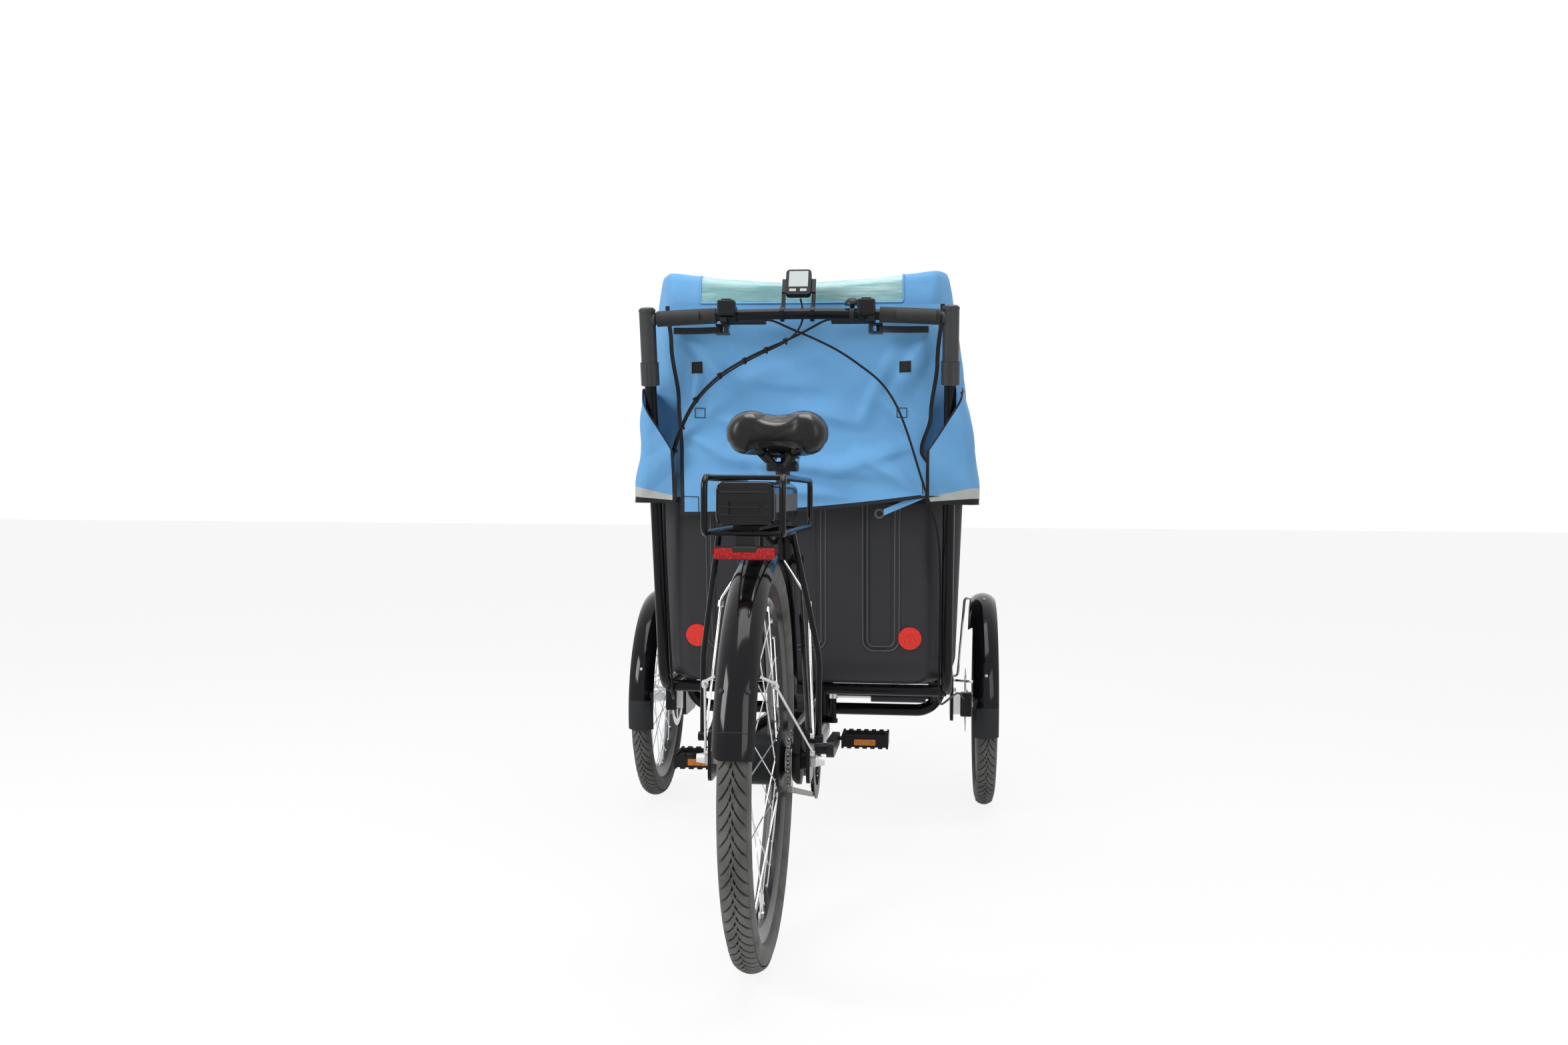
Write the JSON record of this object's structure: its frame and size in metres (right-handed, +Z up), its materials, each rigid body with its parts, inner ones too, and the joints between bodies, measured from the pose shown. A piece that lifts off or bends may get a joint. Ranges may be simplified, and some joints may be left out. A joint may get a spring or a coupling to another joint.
{
  "type": "cargo tricycle",
  "caption": "Covered front-load cargo tricycle: canopied box over steered front wheels, telescoping handlebar, chain drive, motor, rack battery and saddle.",
  "frame": {"origin": "on the ground under the middle of the tricycle's length and width", "axes": "+X to the rider's right, +Y forward along the wheelbase, +Z up"},
  "size_m": [0.8766, 2.1542, 1.2359],
  "materials": {
    "frame_black": "gloss",
    "motor_casing": "satin",
    "fender_black": "gloss",
    "steel": "satin",
    "alloy": "satin",
    "dark_alloy": "satin",
    "chain_steel": "oiled",
    "tyre_rubber": "matte",
    "soft_rubber": "matte",
    "saddle_vinyl": "gloss",
    "black_plastic": "semi-gloss",
    "box_plastic": "matte",
    "rim_plastic": "matte",
    "canopy_cloth": "woven",
    "clear_sheet": "clear",
    "red_lens": "gloss"
  },
  "bodies": {
    "rear_frame": {"main_frame": "frame_black", "drive_unit": "motor_casing", "rear_axle": "steel", "gear_actuator": "black_plastic", "chain": "chain_steel", "seat_clamp": "frame_black", "rear_rack": "frame_black", "battery_rail": "black_plastic", "battery": "black_plastic", "tail_light": "red_lens", "rear_fender": "fender_black", "rear_fender_stays": "steel"},
    "seat": {"seatpost": "alloy", "saddle_rails": "steel", "saddle": "saddle_vinyl"},
    "rear_wheel": {"rear_tyre": "tyre_rubber", "rear_rim": "alloy", "rear_spokes": "steel", "rear_hub": "alloy"},
    "sprocket": {"rear_sprocket": "alloy"},
    "crank": {"chainring": "dark_alloy", "right_crank": "dark_alloy", "left_crank": "dark_alloy"},
    "right_pedal_body": {"right_pedal": "black_plastic"},
    "left_pedal_body": {"left_pedal": "black_plastic"},
    "front_carrier": {"cabin_frame": "frame_black", "cargo_box": "box_plastic", "box_rim": "rim_plastic", "rear_reflectors": "red_lens", "stub_axles": "steel", "brake_calipers": "dark_alloy", "front_fenders": "fender_black", "front_fender_stays": "steel", "canopy": "canopy_cloth", "canopy_windows": "clear_sheet", "canopy_bows": "steel", "canopy_flaps": "canopy_cloth", "brake_hoses": "soft_rubber"},
    "handlebar_unit": {"handlebar": "frame_black", "grips": "soft_rubber", "handlebar_posts": "dark_alloy", "brake_lever_clamps": "dark_alloy", "switch_units": "black_plastic", "display_unit": "black_plastic", "display_bracket": "frame_black", "bell": "dark_alloy"},
    "right_lever": {"right_brake_lever": "dark_alloy"},
    "left_lever": {"left_brake_lever": "dark_alloy"},
    "right_button": {"right_switch_button": "black_plastic"},
    "left_button": {"left_switch_button": "black_plastic"},
    "right_front_wheel": {"right_front_tyre": "tyre_rubber", "right_front_rim": "alloy", "right_front_hub": "alloy", "right_brake_disc": "steel"},
    "left_front_wheel": {"left_front_tyre": "tyre_rubber", "left_front_rim": "alloy", "left_front_hub": "alloy", "left_brake_disc": "steel"},
    "damper_body": {"damper_cylinder": "dark_alloy"},
    "damper_piston": {"damper_rod": "steel"}
  },
  "joints": [
    {"name": "steering", "type": "hinge", "parent": "rear_frame", "child": "front_carrier", "pos_m": [0, 0.32357, 0.226], "axis": [0, 0, 1], "range_deg": [-28, 28]},
    {"name": "seat_height", "type": "slide", "parent": "rear_frame", "child": "seat", "axis": [0, -0.2672, 0.9636], "range_m": [0, 0.08]},
    {"name": "rear_wheel_spin", "type": "hinge", "parent": "rear_frame", "child": "rear_wheel", "pos_m": [0, -0.73643, 0.33], "axis": [1, 0, 0], "continuous": true},
    {"name": "crank_spin", "type": "hinge", "parent": "rear_frame", "child": "crank", "pos_m": [0, -0.27005, 0.263], "axis": [1, 0, 0], "continuous": true, "deforming": ["chain"]},
    {"name": "sprocket_spin", "type": "hinge", "parent": "rear_frame", "child": "sprocket", "pos_m": [0, -0.73643, 0.33], "axis": [1, 0, 0], "continuous": true},
    {"name": "handlebar_height", "type": "slide", "parent": "front_carrier", "child": "handlebar_unit", "axis": [0, -0.2504, 0.9681], "range_m": [0, 0.06], "deforming": ["brake_hoses"]},
    {"name": "damper_swing", "type": "hinge", "parent": "front_carrier", "child": "damper_body", "pos_m": [0.284, 0.26157, 0.29], "axis": [0, 0, 1], "range_deg": [-6.5, 6.5]},
    {"name": "damper_stroke", "type": "slide", "parent": "damper_body", "child": "damper_piston", "axis": [-1, 0, 0], "range_m": [-0.03, 0.03]},
    {"name": "right_pedal_spin", "type": "hinge", "parent": "crank", "child": "right_pedal_body", "pos_m": [0.095, -0.10028, 0.2541], "axis": [1, 0, 0], "continuous": true},
    {"name": "right_front_wheel_spin", "type": "hinge", "parent": "front_carrier", "child": "right_front_wheel", "pos_m": [0.411, 0.49157, 0.252], "axis": [1, 0, 0], "continuous": true},
    {"name": "right_brake_lever_pull", "type": "hinge", "parent": "handlebar_unit", "child": "right_lever", "pos_m": [0.166, -0.11343, 1.106], "axis": [0, 0, -1], "range_deg": [0, 16], "stiffness_Nm_per_rad": 1.2},
    {"name": "right_button_press", "type": "slide", "parent": "handlebar_unit", "child": "right_button", "axis": [0, 0, -1], "range_m": [0, 0.002], "stiffness_N_per_m": 300},
    {"name": "left_pedal_spin", "type": "hinge", "parent": "crank", "child": "left_pedal_body", "pos_m": [-0.095, -0.43982, 0.2719], "axis": [1, 0, 0], "continuous": true},
    {"name": "left_front_wheel_spin", "type": "hinge", "parent": "front_carrier", "child": "left_front_wheel", "pos_m": [-0.411, 0.49157, 0.252], "axis": [1, 0, 0], "continuous": true},
    {"name": "left_brake_lever_pull", "type": "hinge", "parent": "handlebar_unit", "child": "left_lever", "pos_m": [-0.166, -0.11343, 1.106], "axis": [0, 0, 1], "range_deg": [0, 16], "stiffness_Nm_per_rad": 1.2},
    {"name": "left_button_press", "type": "slide", "parent": "handlebar_unit", "child": "left_button", "axis": [0, 0, -1], "range_m": [0, 0.002], "stiffness_N_per_m": 300}
  ],
  "couplings": [
    {"joint": "sprocket_spin", "follows": "crank_spin", "ratio": 1.913},
    {"joint": "damper_swing", "follows": "steering", "ratio": 0.209},
    {"joint": "damper_stroke", "follows": "steering", "m_per_rad": 0.0578}
  ]
}
